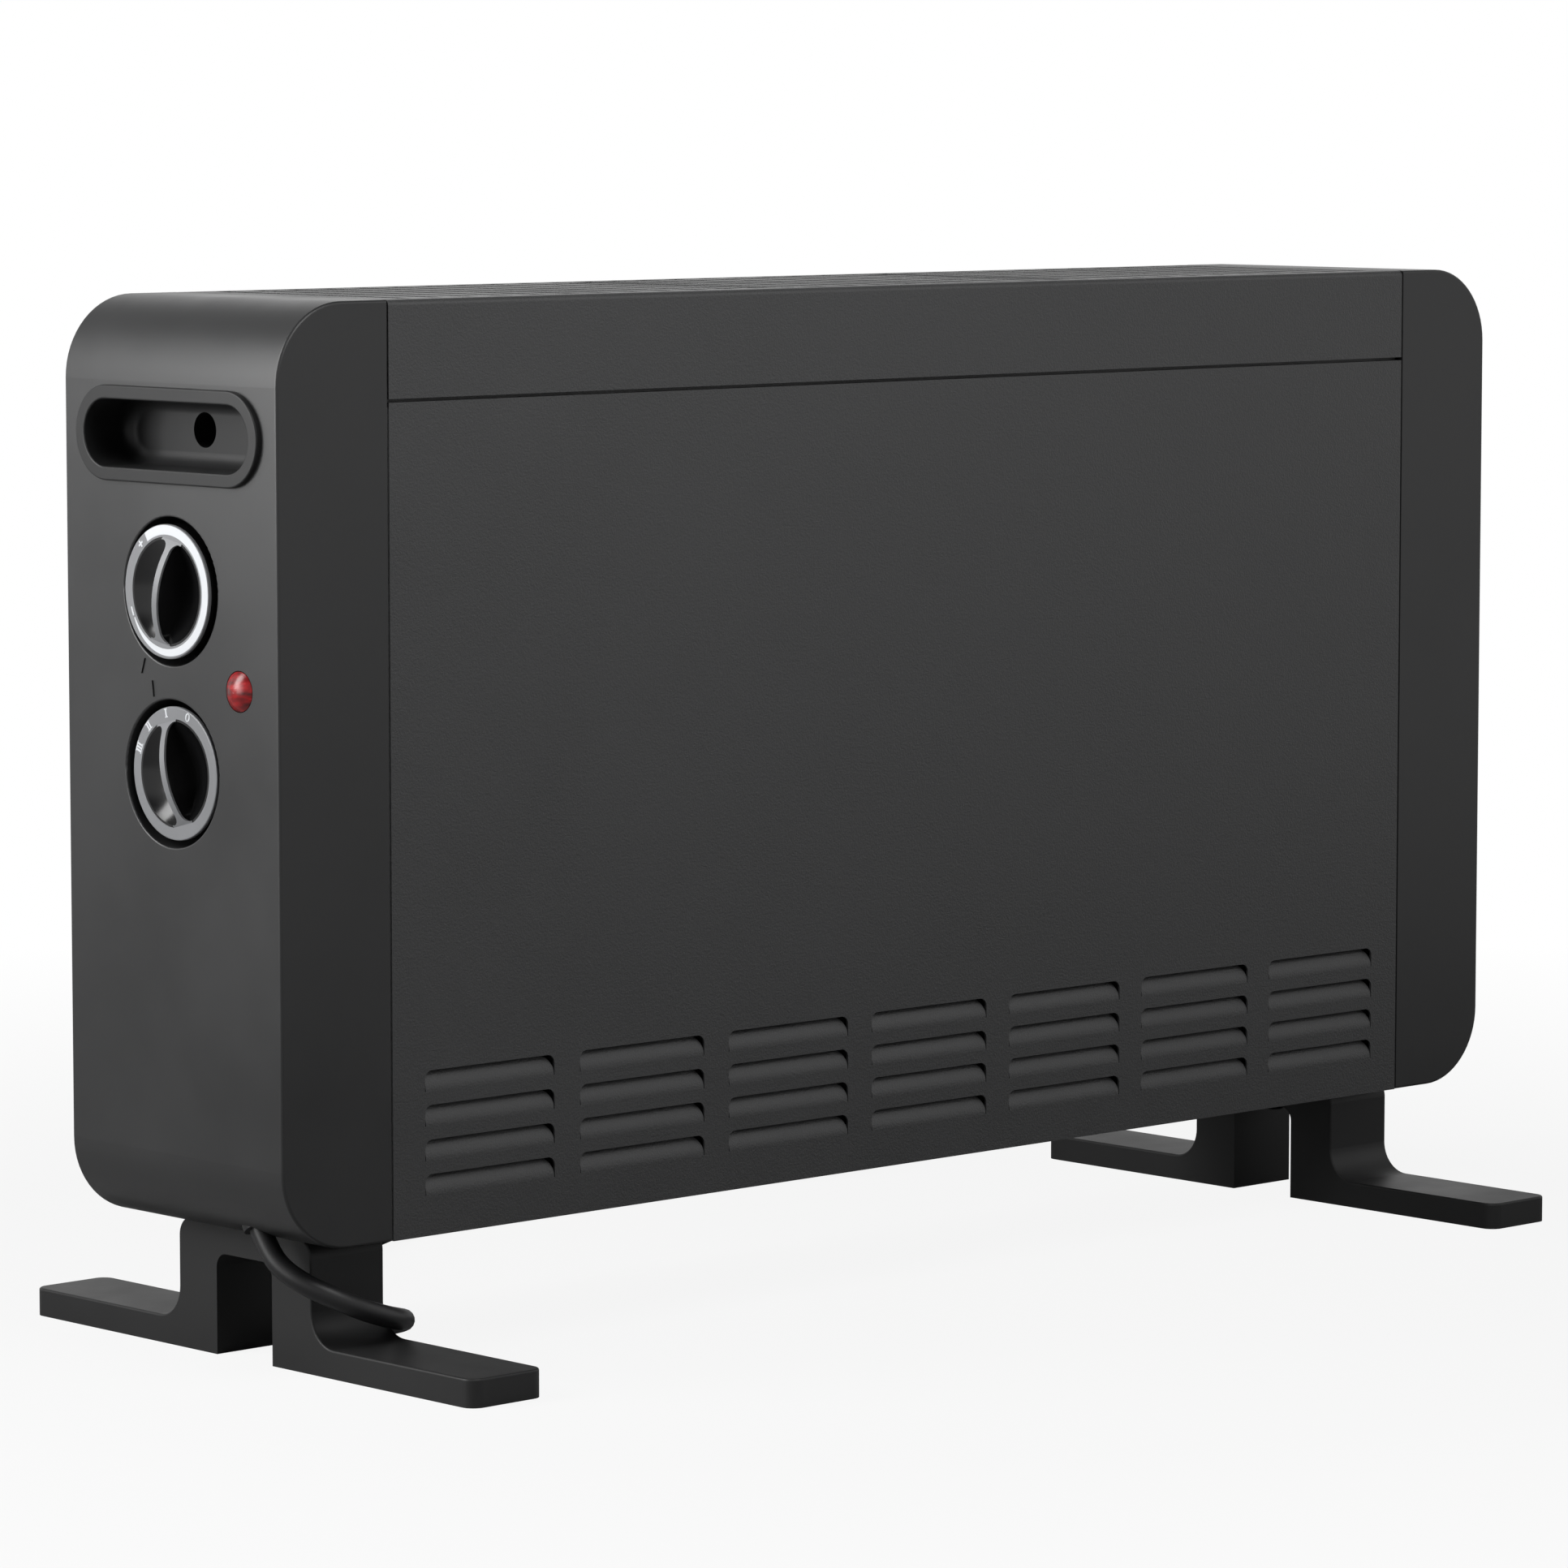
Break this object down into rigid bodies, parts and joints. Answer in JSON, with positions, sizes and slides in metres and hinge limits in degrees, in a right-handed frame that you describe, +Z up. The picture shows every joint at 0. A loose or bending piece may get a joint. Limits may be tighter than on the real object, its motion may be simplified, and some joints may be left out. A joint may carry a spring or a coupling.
{
  "type": "convector heater",
  "caption": "Free-standing electric convector heater with a slotted steel casing, rounded plastic end caps with recessed handles, toed feet, turning dials and a mains cord.",
  "frame": {"origin": "on the floor under the middle of the casing", "axes": "+X along the casing away from the dials, -Y towards the front, +Z up"},
  "size_m": [0.6087, 0.3768, 0.362],
  "materials": {
    "cap_plastic": "fine matte",
    "handle_plastic": "satin",
    "foot_plastic": "fine matte",
    "casing_paint": "fine textured powder coat",
    "zinc_steel": "satin",
    "black_steel": "black oxide",
    "shield_coat": "matte heat-proof coat",
    "element_metal": "satin",
    "ceramic": "matte",
    "knob_black": "gloss",
    "ring_grey": "satin",
    "control_body": "matte",
    "lens_red": "clear gloss",
    "lamp_body": "matte",
    "wire_skin": "satin",
    "cord_skin": "satin",
    "plug_plastic": "satin",
    "tie_black": "woven",
    "pin_metal": "bright",
    "print_white": "satin print"
  },
  "bodies": {
    "casing": {"left_end_cap": "cap_plastic", "right_end_cap": "cap_plastic", "left_handle_cup": "handle_plastic", "right_handle_cup": "handle_plastic", "front_panel": "casing_paint", "rear_panel": "casing_paint", "top_cover": "casing_paint", "bottom_tray": "zinc_steel", "left_end_plate": "zinc_steel", "right_end_plate": "zinc_steel", "lower_heating_element": "element_metal", "upper_heating_element": "element_metal", "element_bushes": "ceramic", "front_heat_shield": "shield_coat", "rear_heat_shield": "shield_coat", "thermal_cutout": "control_body", "thermostat": "control_body", "selector_switch": "control_body", "control_screws": "zinc_steel", "indicator_lens": "lens_red", "indicator_lamp": "lamp_body", "terminal_block": "ceramic", "wiring": "wire_skin", "cap_screws": "zinc_steel", "foot_screws": "black_steel", "rear_panel_screws": "zinc_steel", "left_foot": "foot_plastic", "right_foot": "foot_plastic", "cord_gland": "cord_skin", "cord_lead": "cord_skin", "cord_coil": "cord_skin", "cord_tail": "cord_skin", "cord_tie": "tie_black", "plug_body": "plug_plastic", "plug_pins": "pin_metal"},
    "thermostat_dial": {"thermostat_knob": "knob_black", "thermostat_dial_ring": "ring_grey", "thermostat_shaft": "zinc_steel"},
    "selector_dial": {"selector_knob": "knob_black", "selector_dial_ring": "ring_grey", "selector_shaft": "zinc_steel"}
  },
  "joints": [
    {"name": "thermostat_turn", "type": "hinge", "parent": "casing", "child": "thermostat_dial", "pos_m": [-0.3, 0, 0.26439], "axis": [-1, 0, 0], "range_deg": [-254, 35]},
    {"name": "selector_turn", "type": "hinge", "parent": "casing", "child": "selector_dial", "pos_m": [-0.3, 0, 0.20312], "axis": [-1, 0, 0], "range_deg": [-60, 30]}
  ]
}
